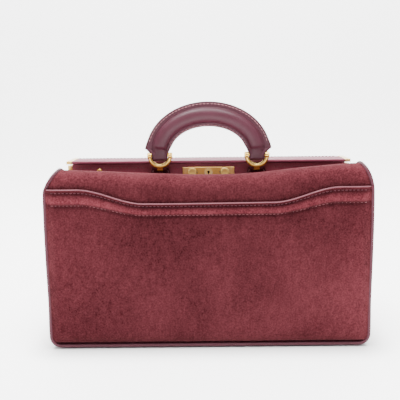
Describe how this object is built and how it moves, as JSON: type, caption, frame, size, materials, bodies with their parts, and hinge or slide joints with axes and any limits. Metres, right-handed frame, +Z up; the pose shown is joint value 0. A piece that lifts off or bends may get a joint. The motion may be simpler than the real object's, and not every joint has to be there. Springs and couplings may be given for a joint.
{
  "type": "doctor bag",
  "caption": "Boxy suede handbag with a hinged two-jaw frame, top flap, slide lock, outside slip pocket and stiff rolled handle on shackles.",
  "frame": {"origin": "on the ground under the middle of the bag", "axes": "+Z up, +X along the bag's width, -Y out of the front with the pocket and lock"},
  "size_m": [0.32, 0.15, 0.2432],
  "materials": {
    "suede": "brushed nap",
    "gusset_leather": "smooth, semi-gloss",
    "frame_leather": "smooth, polished",
    "handle_leather": "smooth, polished",
    "handle_filling": "matt",
    "lining_cloth": "twill",
    "base_stiffener": "matt board",
    "gold_hardware": "polished, pale gold",
    "lock_brass": "polished",
    "steel": "plain"
  },
  "bodies": {
    "bag": {"front_panel": "suede", "back_panel": "suede", "front_shoulder": "suede", "back_shoulder": "suede", "pocket_panel": "suede", "pocket_binding": "gusset_leather", "pocket_seam_strip": "gusset_leather", "base_panel": "suede", "base_board": "base_stiffener", "base_feet": "gold_hardware", "left_gusset": "gusset_leather", "right_gusset": "gusset_leather", "left_gusset_fold": "gusset_leather", "right_gusset_fold": "gusset_leather", "front_piping": "gusset_leather", "back_piping": "gusset_leather", "front_shoulder_piping": "gusset_leather", "back_shoulder_piping": "gusset_leather", "lining_front": "lining_cloth", "lining_back": "lining_cloth", "lining_base": "lining_cloth", "lining_left": "lining_cloth", "lining_right": "lining_cloth", "left_hinge_pin": "gold_hardware", "right_hinge_pin": "gold_hardware", "hinge_washers": "gold_hardware"},
    "front_jaw": {"front_jaw_frame": "gold_hardware", "front_jaw_cover": "frame_leather", "lock_plate": "lock_brass", "lock_case": "steel", "left_leather_pad": "frame_leather", "right_leather_pad": "frame_leather", "left_bracket": "gold_hardware", "right_bracket": "gold_hardware", "bracket_pins": "gold_hardware", "bracket_rivets": "gold_hardware", "frame_studs": "gold_hardware"},
    "back_jaw": {"back_jaw_frame": "gold_hardware", "back_jaw_cover": "frame_leather", "top_flap_core": "steel", "top_flap_cover": "frame_leather", "left_flap_end_cap": "gold_hardware", "right_flap_end_cap": "gold_hardware", "left_strike": "steel", "right_strike": "steel"},
    "left_lock_knob": {"left_knob": "lock_brass", "left_bolt": "steel"},
    "right_lock_knob": {"right_knob": "lock_brass", "right_bolt": "steel"},
    "key_plug": {"lock_plug": "lock_brass"},
    "shackles": {"left_shackle": "gold_hardware", "right_shackle": "gold_hardware", "left_shackle_pin": "gold_hardware", "right_shackle_pin": "gold_hardware"},
    "handle": {"handle_core": "handle_filling", "handle_front_cover": "handle_leather", "handle_back_cover": "handle_leather", "left_handle_tab": "handle_leather", "right_handle_tab": "handle_leather"}
  },
  "joints": [
    {"name": "front_jaw_open", "type": "hinge", "parent": "bag", "child": "front_jaw", "pos_m": [0, 0.002, 0.1385], "axis": [1, 0, 0], "range_deg": [0, 40], "deforming": ["front_shoulder", "front_shoulder_piping", "left_gusset_fold", "right_gusset_fold"]},
    {"name": "back_jaw_open", "type": "hinge", "parent": "bag", "child": "back_jaw", "pos_m": [0, 0.002, 0.1385], "axis": [-1, 0, 0], "range_deg": [0, 60], "deforming": ["back_shoulder", "back_shoulder_piping"]},
    {"name": "left_knob_slide", "type": "slide", "parent": "front_jaw", "child": "left_lock_knob", "axis": [1, 0, 0], "range_m": [0, 0.004]},
    {"name": "right_knob_slide", "type": "slide", "parent": "front_jaw", "child": "right_lock_knob", "axis": [-1, 0, 0], "range_m": [0, 0.004]},
    {"name": "key_plug_turn", "type": "hinge", "parent": "front_jaw", "child": "key_plug", "pos_m": [0, 0.002, 0.1704], "axis": [0, 1, 0], "range_deg": [0, 90]},
    {"name": "shackle_swing", "type": "hinge", "parent": "front_jaw", "child": "shackles", "pos_m": [0, -0.019, 0.1748], "axis": [1, 0, 0], "range_deg": [0, 25]},
    {"name": "handle_swing", "type": "hinge", "parent": "shackles", "child": "handle", "pos_m": [0, -0.021, 0.1882], "axis": [-1, 0, 0], "range_deg": [-90, 62]}
  ]
}
